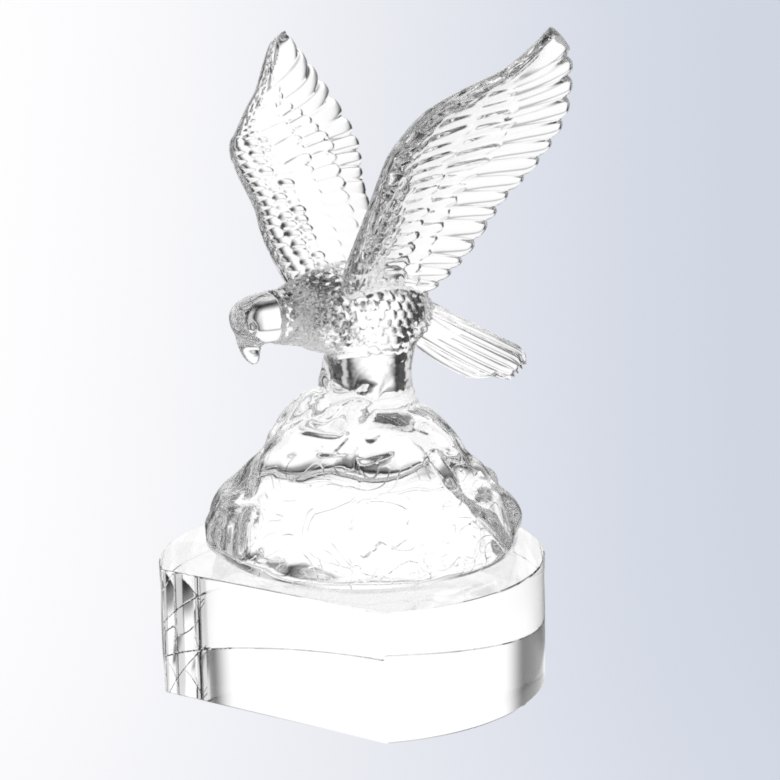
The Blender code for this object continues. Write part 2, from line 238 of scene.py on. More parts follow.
table_skin = bpy.data.materials.new("opal_acrylic_light_table")
tree = empty_tree(table_skin)
out = add(tree, "ShaderNodeOutputMaterial")
rays = add(tree, "ShaderNodeLightPath")
place = add(tree, "ShaderNodeTexCoord")
parts = add(tree, "ShaderNodeSeparateXYZ", {0: place.outputs["Object"]})
far = add(tree, "ShaderNodeVectorMath", {0: place.outputs["Object"]}, operation="LENGTH").outputs["Value"]
turn = bearing(tree, parts.outputs["X"], parts.outputs["Y"])
near_glow, far_glow = (
    combine(tree, circle_light(tree, turn, circle), ramp(tree, far, 0.0, span, stops))
    for circle, span, stops in ((HIGH_PANELS, NEAR_SPAN, NEAR_GLOW), (field, FAR_SPAN, FAR_GLOW))
)
under_glow = ramp(tree, far, 0.0, NEAR_SPAN, UNDER_GLOW)
glow = add(tree, "ShaderNodeEmission", {
    "Color": linear("#ffffff"),
    "Strength": combine(tree, combine(tree, near_glow, far_glow, "MAXIMUM"), under_glow, "MAXIMUM"),
})
side = add(tree, "ShaderNodeVectorMath", {0: place.outputs["Object"], 1: right}, operation="DOT_PRODUCT")
side = combine(tree, side.outputs["Value"], combine(tree, far, BACKDROP_REACH, "ADD"), "DIVIDE")
share = combine(tree, combine(tree, side, BACKDROP_SPREAD), 0.5, "ADD")
tone = add(tree, "ShaderNodeValToRGB", {"Fac": share})
for k, (stop, hex_colour) in enumerate(BACKDROP):
    point = tone.color_ramp.elements[k] if k < 2 else tone.color_ramp.elements.new(stop)
    point.position = stop
    point.color = linear(hex_colour)
seen = add(tree, "ShaderNodeEmission", {"Color": tone.outputs[0], "Strength": 1.0})
both = add(tree, "ShaderNodeMixShader", {
    0: rays.outputs["Is Camera Ray"], 1: glow.outputs[0], 2: seen.outputs[0],
})
tree.links.new(both.outputs[0], out.inputs["Surface"])
floor_mesh.materials.append(table_skin)
print(table_skin.name, "with", len(BACKDROP), "tones")

# %% [markdown]
# ## The panels
#
# The panels could be lit planes, hung around the award. Here they are the world itself, so they are
# endlessly far off and look the same from every point of the glass: that makes the white and the dark
# parts large and calm. Low panels, high panels and a lamp overhead are mixed by taking the brightest.

# %% Bright panels and dark cards
# Brightness at elevations in degrees: low panels, high panels, and a lamp overhead
LOW_RISE = ((0.0, 1.0), (3.5, 1.0), (7.0, 0.45), (10.0, 0.0), (QUARTER_TURN, 0.0))
HIGH_RISE = ((5.5, 0.0), (9.0, 1.0), (38.0, 1.0), (47.0, 0.03), (QUARTER_TURN, 0.0))
OVERHEAD = ((0.0, 0.0), (72.0, 0.0), (80.0, 0.8), (QUARTER_TURN, 0.8))

studio = bpy.data.worlds.new("panel_studio")
scene.world = studio
tree = empty_tree(studio)
out = add(tree, "ShaderNodeOutputWorld")
way = add(tree, "ShaderNodeTexCoord")
parts = add(tree, "ShaderNodeSeparateXYZ", {0: way.outputs["Generated"]})
turn = bearing(tree, parts.outputs["X"], parts.outputs["Y"])
rise = add(tree, "ShaderNodeMath", {0: parts.outputs["Z"]}, operation="ARCSINE").outputs[0]
rise = combine(tree, rise, math.degrees(1.0))
bright = ramp(tree, rise, 0.0, QUARTER_TURN, OVERHEAD)
for circle, heights in ((field, LOW_RISE), (HIGH_PANELS, HIGH_RISE)):
    panels = combine(tree, circle_light(tree, turn, circle), ramp(tree, rise, 0.0, QUARTER_TURN, heights))
    bright = combine(tree, bright, panels, "MAXIMUM")
rays = add(tree, "ShaderNodeLightPath")
glow = add(tree, "ShaderNodeBackground", {"Color": linear("#ffffff"), "Strength": bright})
seen = add(tree, "ShaderNodeBackground", {"Color": linear("#e7e9f0"), "Strength": 1.0})
both = add(tree, "ShaderNodeMixShader", {
    0: rays.outputs["Is Camera Ray"], 1: glow.outputs[0], 2: seen.outputs[0],
})
tree.links.new(both.outputs[0], out.inputs["Surface"])
print("panels up to", HIGH_RISE[3][0], "degrees")

# %% [markdown]
# ## Bounces
#
# Light is bent at each surface of the glass and thrown back inside it many times, so the renderer needs
# more bounces than it does for a solid object. A slightly wide pixel filter calms the finest sparkle, and
# the Standard view shows the tones of the backdrop as they are set.

# %% Light bounces and tone
BOUNCES, MIRROR_BOUNCES = 16, 12
PIXEL_FILTER = 1.9

scene.view_settings.view_transform = "Standard"
scene.cycles.max_bounces = BOUNCES
scene.cycles.transmission_bounces = BOUNCES
scene.cycles.glossy_bounces = MIRROR_BOUNCES
scene.cycles.use_denoising = True
scene.cycles.denoising_input_passes = "RGB"
scene.cycles.filter_width = PIXEL_FILTER
print("up to", BOUNCES, "bounces inside the glass")

# %% [markdown]
# ## The glass
#
# Both parts are lead-free optical crystal, clear all through. The casting was pressed in a mould and then
# fire-polished, which leaves a soft ripple of a few millimetres. The base was sawn, ground and polished,
# so it is much flatter. The Glass shader would look the same here; the Principled one is used, with
# transmission, roughness and index as plain values on it. Only the ripple is made with nodes, in Object
# coordinates.
#
# On the rock the casting also has flow lines, left where the glass cooled in the mould. They are steps a
# tenth of a millimetre high, far too low to model, and follow the levels of a slow noise, like the height
# lines on a map.

# %% Ripple and flow lines
def slow_noise(tree, place, size):
    """Noise with lumps of about a size in millimetres."""
    return add(tree, "ShaderNodeTexNoise", {
        "Vector": place.outputs["Object"], "Scale": 1.0 / (size * MM), "Detail": 1.0,
    }).outputs[0]


def flow_lines(tree, place, size, levels, half, fade):
    """Heights of low steps at levels of a noise, which fade out between two heights."""
    wander = slow_noise(tree, place, size)
    height = 0.0
    for level in levels:
        step = add(tree, "ShaderNodeMapRange", {
            "Value": wander, "From Min": level - half, "From Max": level + half,
        }, interpolation_type="SMOOTHSTEP")
        height = combine(tree, height, step.outputs[0], "ADD")
    rise = add(tree, "ShaderNodeSeparateXYZ", {0: place.outputs["Object"]}).outputs["Z"]
    share = add(tree, "ShaderNodeMapRange", {
        "Value": rise, "From Min": fade[1] * MM, "From Max": fade[0] * MM,
    }, interpolation_type="SMOOTHSTEP")
    return combine(tree, height, share.outputs[0])


print("noise and flow lines ready")

# %% Glass materials
def ripple_glass(name, index, roughness, ripples, lines=None):
    """Clear glass: each ripple is a size and a depth in millimetres, lines are flow lines and a depth."""
    material = bpy.data.materials.new(name)
    tree = empty_tree(material)
    out = add(tree, "ShaderNodeOutputMaterial")
    shader = add(tree, "ShaderNodeBsdfPrincipled", {
        "Base Color": linear("#ffffff"), "Metallic": 0.0, "Roughness": roughness, "IOR": index,
        "Transmission Weight": 1.0,
    })
    place = add(tree, "ShaderNodeTexCoord")
    layers = [(slow_noise(tree, place, size), depth) for size, depth in ripples]
    if lines:
        layers.append((flow_lines(tree, place, *lines[0]), lines[1]))
    normal = None
    for height, depth in layers:
        bump = add(tree, "ShaderNodeBump", {"Height": height, "Strength": 1.0, "Distance": depth * MM})
        if normal:
            tree.links.new(normal, bump.inputs["Normal"])
        normal = bump.outputs[0]
    tree.links.new(normal, shader.inputs["Normal"])
    tree.links.new(shader.outputs[0], out.inputs["Surface"])
    return material


CRYSTAL_INDEX, POLISHED = 1.52, 0.0
CAST_RIPPLES, GROUND_RIPPLES = ((9.0, 0.06), (3.0, 0.010)), ((30.0, 0.004),)
# Size of the noise, its levels, half of a step's width, the heights of the fade, and the depth of a step
FLOW_LINES = ((22.0, (0.38, 0.46, 0.54, 0.62), 0.005, (66.0, 76.0)), 0.10)
# Fire-polished cast crystal: smooth as a drop, but wavy, so what is seen through it wanders
cast_glass = ripple_glass("fire_polished_cast_crystal", CRYSTAL_INDEX, POLISHED, CAST_RIPPLES, FLOW_LINES)
# Ground and polished crystal: flat enough to give straight, sharp lines
base_glass = ripple_glass("ground_and_polished_crystal", CRYSTAL_INDEX, POLISHED, GROUND_RIPPLES)
print(cast_glass.name, base_glass.name)

# %% [markdown]
# ## The base
#
# The real base is a round block with one flat face sawn off for the engraving, and a hair-fine bevel on
# each edge that keeps it from chipping. It could be a cylinder with a box cut away by a Boolean. But a
# disc that is cut with a plane, raised, and bevelled at its sharp edges has no edge that isn't needed. Many
# short sides keep the round wall from showing flats through the glass.

# %% Making a piece
def make_piece(name, bm, material, sharp_angle):
    """Turn a finished bmesh, in metres, into a piece that rides on the award."""
    bmesh.ops.recalc_face_normals(bm, faces=bm.faces)
    mesh = bpy.data.meshes.new(name)
    bm.to_mesh(mesh)
    bm.free()
    mesh.materials.append(material)
    mesh.shade_smooth()
    mesh.set_sharp_from_angle(angle=math.radians(sharp_angle))
    piece = bpy.data.objects.new(name, mesh)
    scene.collection.objects.link(piece)
    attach(piece, "root")
    return piece


print("pieces are shaded smooth, with sharp edges kept")

# %% D-shaped block
FLAT_FROM_AXIS = -base_low[1]
BASE_RADIUS = base_high[1]
BASE_HEIGHT = base_high[2]
BASE_SIDES = 360
BEVEL, BEVEL_SEGMENTS = 0.4 * MM, 2
CORNER_ANGLE = math.radians(20.0)
BASE_SHARP_ANGLE = 15.0

bm = bmesh.new()
bmesh.ops.create_circle(bm, cap_ends=True, segments=BASE_SIDES, radius=BASE_RADIUS)
bmesh.ops.bisect_plane(
    bm, geom=bm.verts[:] + bm.edges[:] + bm.faces[:], dist=1e-6,
    plane_co=(0.0, -FLAT_FROM_AXIS, 0.0), plane_no=(0.0, -1.0, 0.0), clear_outer=True,
)
raised = bmesh.ops.extrude_face_region(bm, geom=bm.faces[:])["geom"]
top = [item for item in raised if isinstance(item, bmesh.types.BMVert)]
bmesh.ops.translate(bm, verts=top, vec=(0.0, 0.0, BASE_HEIGHT))
bmesh.ops.recalc_face_normals(bm, faces=bm.faces)
sharp = [edge for edge in bm.edges if edge.calc_face_angle(0.0) > CORNER_ANGLE]
bmesh.ops.bevel(
    bm, geom=sharp, offset=BEVEL, segments=BEVEL_SEGMENTS, profile=0.5, affect="EDGES", material=-1,
)
base = make_piece("polished_base", bm, base_glass, BASE_SHARP_ANGLE)
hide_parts("crystal_base")
print("base", len(base.data.polygons), "faces, radius", BASE_RADIUS)

# %% [markdown]
# ## Curves and rolled skins
#
# Everything on the casting is shaped in the bird's own frame, in millimetres: forward, left and up, with
# the origin on the base's underside below the middle of the rock. It could be sculpted freely, but then
# nothing could be measured or corrected. So a few measured stations give each part its line, and a smooth
# curve runs through them. A skin is a flat grid of quads that is rolled up around that line, like a sheet
# of clay around a stick, joined at its seam and closed at both ends.

# %% Curve and skin helpers
LENGTH_SAMPLES = 401
SEAM_GAP = 1e-4


def curve(points, shares):
    """A smooth curve through the points, read at shares of its way from 0 to 1."""
    points = np.asarray(points, float)
    place = np.clip(shares, 0.0, 1.0) * (len(points) - 1)
    index = np.minimum(place.astype(int), len(points) - 2)
    t = (place - index)[..., None]
    a, b, c, d = (points[np.clip(index + k, 0, len(points) - 1)] for k in (-1, 0, 1, 2))
    return 0.5 * (2 * b + (c - a) * t + (2 * a - 5 * b + 4 * c - d) * t**2 + (3 * b - a - 3 * c + d) * t**3)


def by_length(points, parts):
    """The same curve, read at parts of its length."""
    shares = np.linspace(0.0, 1.0, LENGTH_SAMPLES)
    steps = np.linalg.norm(np.diff(curve(points, shares), axis=0), axis=1)
    length = np.concatenate([[0.0], np.cumsum(steps)])
    return curve(points, np.interp(parts, length / length[-1], shares))


def rolled(bm, rows, sides, place):
    """Add a grid rolled into a tube with closed ends; place(along, around) gives its points."""
    grid = bmesh.ops.create_grid(bm, x_segments=rows, y_segments=sides, size=0.5)["verts"]
    along = np.array([vert.co.x for vert in grid]) + 0.5
    around = np.array([vert.co.y for vert in grid]) + 0.5
    for vert, point in zip(grid, place(along, around)):
        vert.co = point
    bmesh.ops.remove_doubles(bm, verts=grid, dist=SEAM_GAP)
    rims = [edge for edge in bm.edges if edge.is_boundary]
    caps = bmesh.ops.holes_fill(bm, edges=rims, sides=0)["faces"]
    bmesh.ops.triangulate(bm, faces=caps)


def unit(vectors):
    """Vectors of length one."""
    return vectors / np.linalg.norm(vectors, axis=-1, keepdims=True)


print("middle of a quarter bend", curve([(1, 0), (0.7, 0.7), (0, 1)], np.array([0.5])))

# %% [markdown]
# ## The rough casting
#
# The mould maker would block out the eagle first and cut feathers last. So the rock, the ledges below the
# feet, the body with its trunk of leg plumage, the head with its hooked beak, and both feet are made as
# simple closed skins that run into one another. One mesh for all would need faces that fit every part, but
# separate skins may overlap, and each stays easy to change. The ledges are no more than stretched balls.

# %% Rock
ROCK_FOOT = cast_low[2] / MM
# Height above the rock's foot, and radius
ROCK_PROFILE = (
    (0.0, 43.2), (1.2, 44.6), (3.6, 45.6), (8.0, 45.8), (12.0, 45.1), (16.0, 43.6), (19.5, 41.2),
    (22.5, 37.6), (25.5, 34.0), (29.0, 30.8), (33.0, 28.2), (37.0, 25.4), (40.5, 21.4), (43.0, 15.0),
    (44.2, 6.0),
)
# Waves around the rock: how many, depth in millimetres, start, and twist per millimetre of height
ROCK_WAVES = ((1, 0.8, 0.6, 0.0), (3, 0.9, 0.6, 0.020), (5, 0.8, 2.1, -0.045), (9, 0.45, 4.0, 0.060))
FOOT_FADE, TOP_FADE = 6.0, 20.0
ROCK_GRID = (60, 180)
# Ledges: centre and half sizes
LEDGES = (
    ((14.0, -6.0, 70.5), (11.5, 11.0, 9.0)), ((8.0, 9.0, 73.0), (12.0, 10.0, 8.0)),
    ((-14.8, 3.0, 70.5), (10.5, 12.5, 9.5)),
)
# A ball is turned before it is stretched, which only changes where its points lie
LEDGE_TURN, LEDGE_AXIS = 0.4, (1.0, 2.0, 3.0)
LEDGE_FINENESS = 4


def rock_skin(along, around):
    """The rock's side, a round profile with a few waves that fade out at the foot and the top."""
    rise, radius = by_length(ROCK_PROFILE, along).T
    turn = 2 * math.pi * around
    uneven = sum(
        depth * np.cos(count * turn + start + twist * rise) for count, depth, start, twist in ROCK_WAVES
    )
    reach = radius + np.minimum(rise / FOOT_FADE, 1.0) * uneven * np.minimum(radius / TOP_FADE, 1.0)
    return np.stack([reach * np.cos(turn), reach * np.sin(turn), rise + ROCK_FOOT], axis=-1)


rough = bmesh.new()
rolled(rough, *ROCK_GRID, rock_skin)
for centre, half in LEDGES:
    stretched = Matrix.LocRotScale(Vector(centre), None, Vector(half))
    turned = stretched @ Matrix.Rotation(LEDGE_TURN, 4, LEDGE_AXIS)
    bmesh.ops.create_icosphere(rough, subdivisions=LEDGE_FINENESS, radius=1.0, matrix=turned)
print("rock", len(rough.verts), "points")

# %% Body, trunk and beak
# Stations: forward, height, half width, half depth, and a power: 1 gives an ellipse, less gives a squarer
# section, as on the flat cheeks, and more gives one nearer a lozenge, whose flat sides face front and back
BODY_STATIONS = (
    (-21.4, 106.0, 2.0, 1.8, 1.0), (-19.8, 106.2, 5.5, 5.0, 1.0), (-16.8, 106.8, 8.6, 8.2, 1.0),
    (-12.0, 108.0, 11.0, 10.8, 1.0), (-6.0, 109.4, 12.6, 12.6, 1.0), (0.0, 110.4, 13.6, 13.4, 1.0),
    (9.0, 111.4, 13.2, 13.2, 1.0), (17.0, 111.8, 11.2, 11.4, 1.0), (22.5, 112.2, 9.0, 9.6, 0.95),
    (27.5, 112.0, 7.8, 8.0, 0.88), (32.0, 112.3, 7.5, 7.3, 0.80), (36.5, 112.0, 7.3, 7.0, 0.78),
    (40.2, 111.2, 6.5, 6.3, 0.80), (42.8, 110.4, 4.6, 4.8, 0.9), (44.2, 109.8, 1.8, 2.2, 1.0),
)
BEAK_STATIONS = (
    (37.5, 111.0, 4.0, 4.0, 1.0), (39.3, 107.6, 3.9, 4.2, 1.0), (39.4, 104.9, 3.1, 3.5, 1.0),
    (38.9, 102.5, 2.4, 2.8, 1.0), (38.2, 100.7, 1.7, 2.0, 1.0), (37.4, 99.3, 0.8, 1.0, 1.0),
)
TRUNK_STATIONS = (
    (-2.0, 108.0, 13.0, 15.6, 1.2), (-2.2, 103.0, 13.0, 15.8, 1.2), (-2.4, 98.0, 12.4, 14.8, 1.25),
    (-2.4, 92.0, 11.4, 13.4, 1.25), (-2.4, 86.0, 11.4, 13.8, 1.25), (-2.4, 80.0, 12.8, 15.4, 1.2),
    (-2.4, 72.0, 13.4, 16.0, 1.2),
)
SPINE_GRID = (80, 64)
SPINE_LOOK = 0.01


def spine_skin(stations):
    """A skin of rounded sections across a spine in the bird's middle plane."""
    def place(along, around):
        forward, height, half_width, half_depth, power = curve(stations, along).T
        ahead = curve(stations, along + SPINE_LOOK) - curve(stations, along - SPINE_LOOK)
        lead = unit(ahead[:, :2])
        turn = 2 * math.pi * around
        wide, deep = (
            half * np.sign(part) * np.abs(part) ** power
            for half, part in ((half_width, np.cos(turn)), (half_depth, np.sin(turn)))
        )
        return np.stack([forward + lead[:, 1] * deep, wide, height - lead[:, 0] * deep], axis=-1)
    return place


for stations in (BODY_STATIONS, BEAK_STATIONS, TRUNK_STATIONS):
    rolled(rough, *SPINE_GRID, spine_skin(stations))
print("with body", len(rough.verts), "points")

# %% Legs and toes
# Each leg hangs from joints given by how far they lie behind the ankle, and where they lie across
ANKLES = ((8.5, -6.5, 87.0), (4.5, 7.5, 86.0))
LEG_JOINTS = ((6.0, 0.75, 100.0), (3.0, 0.9, 93.0))
LEG_RADII = (6.0, 4.8, 3.4)
# Toes: turn from forward in degrees, and length; their path by share of that length, and drop
TOES = ((-32.0, 14.6), (-1.0, 14.6), (33.0, 14.6), (176.0, 13.0))
TOE_PATH = ((0.08, 2.4), (0.40, 4.0), (0.72, 7.2), (0.95, 11.0), (1.02, 15.6))
TOE_RADII = (2.6, 3.0, 2.6, 2.0, 0.8)
SCUTES, SCUTE_SWELL = 9, 0.10
LEG_GRID, TOE_GRID = (24, 32), (60, 24)
LIMB_LOOK = 0.02


def limb_skin(path, radii, swells=0):
    """A tapering round limb along a curved path, with rings of scutes if it has any."""
    def place(along, around):
        centre = curve(path, along)
        radius = curve(np.array(radii)[:, None], along)[:, 0]
        radius = radius * (1.0 + SCUTE_SWELL * (swells > 0) * np.abs(np.sin(math.pi * swells * along)))
        lead = unit(curve(path, along + LIMB_LOOK) - curve(path, along - LIMB_LOOK))
        side = unit(np.cross(lead, (0.0, 0.0, 1.0)))
        turn = 2 * math.pi * around[:, None]
        return centre + (side * np.cos(turn) + np.cross(side, lead) * np.sin(turn)) * radius[:, None]
    return place


for forward, left, height in ANKLES:
    leg = [(forward - behind, left * out, top) for behind, out, top in LEG_JOINTS]
    rolled(rough, *LEG_GRID, limb_skin((*leg, (forward, left, height)), LEG_RADII))
    for turn, reach in TOES:
        way = np.array((math.cos(math.radians(turn)), math.sin(math.radians(turn)), 0.0))
        path = [np.array((forward, left, height - drop)) + way * reach * out for out, drop in TOE_PATH]
        rolled(rough, *TOE_GRID, limb_skin(path, TOE_RADII, SCUTES))
print("with feet", len(rough.verts), "points")

# %% [markdown]
# ## One skin of glass
#
# Molten glass has no inner walls, and every corner of it is rounded. Booleans would join the overlapping
# skins, but would leave each crease sharp between long thin faces. A voxel remesh makes one closed skin
# around all of them, in small even faces that can also carry feathers later. Smoothing then rounds the
# creases: a little everywhere, more on the rock, and most where the trunk runs into the body.

# %% Helpers for modifiers
def mesh_from(bm, name):
    """Turn a bmesh into a plain object for a modifier to work on."""
    bmesh.ops.recalc_face_normals(bm, faces=bm.faces)
    mesh = bpy.data.meshes.new(name)
    bm.to_mesh(mesh)
    bm.free()
    made = bpy.data.objects.new(name, mesh)
    scene.collection.objects.link(made)
    return made


def take_result(made, *helpers):
    """The mesh that an object's modifiers give; the object and its helpers are removed."""
    bpy.context.view_layer.update()
    result = bpy.data.meshes.new_from_object(made.evaluated_get(bpy.context.evaluated_depsgraph_get()))
    for old in (made, *helpers):
        bpy.data.objects.remove(old, do_unlink=True)
    return result


def soften(bm, verts, factor):
    """Draw points towards the middle of their neighbours."""
    bmesh.ops.smooth_vert(bm, verts=verts, factor=factor, use_axis_x=True, use_axis_y=True, use_axis_z=True)


print("rough casting has", len(rough.faces), "faces")

# %% Remesh and smooth
VOXEL, ROUNDING = 0.62, 0.5
# Between two heights and behind a place, how many rounds
SMOOTHING = ((0.0, 300.0, 60.0, 6), (0.0, 84.0, 60.0, 8), (90.0, 105.0, 24.0, 26))

lump = mesh_from(rough, "rough_casting")
remesh = lump.modifiers.new("one_skin", "REMESH")
remesh.mode = "VOXEL"
remesh.voxel_size = VOXEL
skin = bmesh.new()
skin.from_mesh(take_result(lump))
print("one skin", len(skin.verts), "points")
for low, high, ahead, rounds in SMOOTHING:
    some = [vert for vert in skin.verts if low < vert.co.z < high and vert.co.x < ahead]
    for _ in range(rounds):
        soften(skin, some, ROUNDING)
print("smoothed in", sum(rounds for *_, rounds in SMOOTHING), "rounds")

# %% [markdown]
# ## Plumage
#
# Feathers on pressed glass are shallow cuts in the mould: each one is a low crown with a step at its tip,
# where it lies over the next. A bump in the material could draw them, but the outline and the mesh would
# stay smooth. So they are drawn as heights over a map of the surface, in rows along it and columns
# across it, and each point of the skin moves out by that height along its normal.

# %% Feather heights
# A scale reaches over nearly two rows, so it covers the foot of the next
SHINGLE_REACH = 1.9


def ease(value, start, end):
    """A smooth step from 0 at start to 1 at end."""
    share = np.clip((value - start) / (end - start), 0.0, 1.0)
    return share * share * (3.0 - 2.0 * share)


def shingles(row, column, bow=0.45, crown=0.35):
    """Overlapping scales, 0 in a groove and 1 at the middle of a tip; the tips point up the rows."""
    height = np.zeros_like(row)
    found = np.zeros(row.shape, bool)
    for behind in (2, 1, 0):
        scale = np.floor(row) - behind
        across = (column + 0.5 * (scale % 2)) % 1.0 - 0.5
        reach = (row - scale) / (SHINGLE_REACH - bow * (2 * across) ** 2)
        here = (reach <= 1.0) & ~found
        height = np.where(here, (1.0 - crown) * reach + crown * (1.0 - (2 * across) ** 2), height)
        found |= here
    return height


def near_line(points, start, end):
    """Distance of points to a straight line between two places."""
    start, end = np.array(start), np.array(end)
    share = np.clip((points - start) @ (end - start) / ((end - start) @ (end - start)), 0.0, 1.0)
    return np.linalg.norm(points - start - share[:, None] * (end - start), axis=1)


sample = shingles(*np.meshgrid(np.linspace(0.0, 4.0, 81), np.linspace(0.0, 1.0, 21)))
print("scales rise from", round(sample.min(), 2), "to", round(sample.max(), 2))

# %% [markdown]
# ## Feathers of the body
#
# Small feathers cover the eagle from its ruff to its feet. On the body their tips point down its sides,
# and on the trunk straight down, where they are nearly smooth in front. Their strength could be painted on
# by hand. Here each place where they fade is an eased step between two numbers, which are easy to correct.

# %% Body and trunk plumage
# Where the head's smooth part starts, how many rows go round the body, and the size and depth of a feather
RUFF, RUFF_FADE = 32.8, 0.4
BODY_ROWS, BODY_COLUMN, BODY_RELIEF = 34, 3.9, 1.65
# The feathers are lower on the neck and on the far side, with a soft change across the middle
MIDDLE_FADE = 3.0
NECK, NECK_LOSS = (12.0, 22.0), 0.5
FAR_NECK, FAR_SHARE = (24.0, 16.0), 0.3
# Between these heights the trunk's feathers give way to the body's
WAIST = (97.5, 103.5)
TRUNK_MIDDLE, TRUNK_HALVES = -2.0, (13.0, 11.0)
TRUNK_COLUMNS, TRUNK_ROW, TRUNK_TOP = 26, 2.9, 101.0
# Depth in front and behind, and where it changes
TRUNK_RELIEF, TRUNK_BACK = (0.14, 0.45), (2.0, -8.0)
# The trunk's feathers end above the rock, around the ankles, and outside a lozenge around its axis
TRUNK_FOOT, ANKLE_CLEAR = (77.5, 80.5), (7.0, 11.0)
LOZENGE_MIDDLE, LOZENGE_HALVES, LOZENGE_FADE = -2.4, (15.0, 12.0), (2.3, 2.0)

skin.normal_update()
spots = np.array([vert.co for vert in skin.verts])
normals = np.array([vert.normal for vert in skin.verts])
forward, left, height = spots.T
table = np.array(BODY_STATIONS)
axis, wide, deep = (np.interp(forward, table[:, 0], table[:, k]) for k in (1, 2, 3))
turn = np.arctan2(left / wide, (height - axis) / deep)
above_waist = ease(height, *WAIST)
on_body = above_waist * ease(forward, RUFF + RUFF_FADE, RUFF - RUFF_FADE)
rows = np.abs(turn) * BODY_ROWS / (2 * math.pi)
near_side = ease(left, -MIDDLE_FADE, MIDDLE_FADE)
near = near_side * (1.0 - NECK_LOSS * ease(forward, *NECK))
near = near + (1.0 - near_side) * FAR_SHARE * ease(forward, *FAR_NECK)
relief = on_body * near * BODY_RELIEF * shingles(rows, forward / BODY_COLUMN)

turn = np.arctan2(left / TRUNK_HALVES[1], (forward - TRUNK_MIDDLE) / TRUNK_HALVES[0])
from_ankle = np.min([np.linalg.norm(spots - np.array(ankle), axis=1) for ankle in ANKLES], axis=0)
from_axis = np.abs(forward - LOZENGE_MIDDLE) / LOZENGE_HALVES[0] + np.abs(left) / LOZENGE_HALVES[1]
on_trunk = ease(height, *TRUNK_FOOT) * (1.0 - above_waist) * ease(from_ankle, *ANKLE_CLEAR)
on_trunk = on_trunk * ease(from_axis, *LOZENGE_FADE)
depth = TRUNK_RELIEF[0] + (TRUNK_RELIEF[1] - TRUNK_RELIEF[0]) * ease(forward, *TRUNK_BACK)
rows, columns = (TRUNK_TOP - height) / TRUNK_ROW, turn * TRUNK_COLUMNS / (2 * math.pi)
relief += on_trunk * near * depth * shingles(rows, columns)
print("feathers up to", round(relief.max(), 2), "mm")

# %% Eye and brow
EYE, EYE_RISE, EYE_RADIUS = (42.2, 4.35, 111.1), 0.30, 0.9
SOCKET_RADIUS, SOCKET_HALF = 1.7, 0.5
BROW, BROW_RISE, BROW_HALF = ((38.6, 5.9, 112.6), (42.6, 3.9, 112.7)), 0.25, 0.8

mirrored = spots.copy()
mirrored[:, 1] = np.abs(left)
from_eye = np.linalg.norm(mirrored - np.array(EYE), axis=1)
relief += EYE_RISE * np.exp(-(from_eye / EYE_RADIUS) ** 2)
relief -= EYE_RISE * np.exp(-((from_eye - SOCKET_RADIUS) / SOCKET_HALF) ** 2)
relief += BROW_RISE * np.exp(-(near_line(mirrored, *BROW) / BROW_HALF) ** 2)
print("eye", EYE_RADIUS, "mm in radius, socket", SOCKET_RADIUS, "mm")

# %% [markdown]
# ## The rock's surface
#
# The rock is lumpy at its sides and calmer in front, where the two halves of the mould met in a fine raised
# seam. Below the feet and down its sides run hollows, which bend the light so strongly that they look dark.
# Cutting shapes and Booleans could make them, but grooves that fade out on both sides blend into the lumps.

# %% Lumps, hollows and seam
# Fades above the foot of the rock and below the feet
SKIRT, BELOW_FEET = (1.0, 6.0), (70.0, 78.0)
LUMP_SIZE, LUMP_HEIGHT, LUMPS_IN_FRONT = 10.0, 2.4, 0.22
# Grooves: from, to, half width, depth
CLEFTS = (
    ((21.5, 2.0, 77.5), (17.0, 10.5, 78.5), 3.6, 3.4), ((22.0, 10.0, 72.6), (18.0, 16.0, 72.4), 2.6, 2.8),
    ((16.5, 14.2, 77.0), (19.5, 13.4, 74.4), 2.0, 2.0), ((15.0, 21.0, 71.8), (9.0, 23.6, 73.0), 2.8, 3.2),
    ((11.3, 18.7, 76.3), (-5.7, 20.5, 75.6), 2.8, 3.2), ((-3.8, 27.5, 68.1), (-6.2, 32.8, 62.8), 3.2, 3.2),
    ((-6.2, 32.8, 62.8), (-9.0, 40.6, 56.5), 2.6, 2.8), ((-9.0, 40.6, 56.5), (-19.8, 42.3, 44.5), 2.6, 2.6),
    ((27.0, -14.0, 68.4), (39.0, -3.0, 60.5), 2.4, 1.6), ((30.3, -21.8, 62.2), (42.0, -14.0, 55.0), 2.6, 2.0),
    ((43.5, 3.0, 57.0), (46.8, 4.5, 46.0), 2.2, 1.4),
)
CLEFT_SHAPE = 1.5
# The rock's front, as forward and left: it faces the camera, and the seam lies a few degrees beside it
FRONT = (0.575, 0.786)
FRONT_TURN = math.atan2(FRONT[1], FRONT[0])
SEAM_TURN = FRONT_TURN - math.radians(4.0)
SEAM_RISE, SEAM_HALF = 0.25, 0.5

on_rock = ease(height, ROCK_FOOT + SKIRT[0], ROCK_FOOT + SKIRT[1]) * (1.0 - ease(height, *BELOW_FEET))
lumps = np.array([noise.noise(vert.co / LUMP_SIZE) * LUMP_HEIGHT for vert in skin.verts])
aside = np.arctan2(left, forward) - FRONT_TURN
relief += on_rock * lumps * (LUMPS_IN_FRONT + (1.0 - LUMPS_IN_FRONT) * np.sin(aside) ** 2)
for start, end, half, deep in CLEFTS:
    relief -= deep * np.maximum(1.0 - near_line(spots, start, end) / half, 0.0) ** CLEFT_SHAPE
from_seam = left * math.cos(SEAM_TURN) - forward * math.sin(SEAM_TURN)
relief += on_rock * SEAM_RISE * np.exp(-(from_seam / SEAM_HALF) ** 2)

for vert, spot in zip(skin.verts, spots + normals * relief[:, None]):
    vert.co = spot
print("relief from", round(relief.min(), 2), "to", round(relief.max(), 2), "mm")

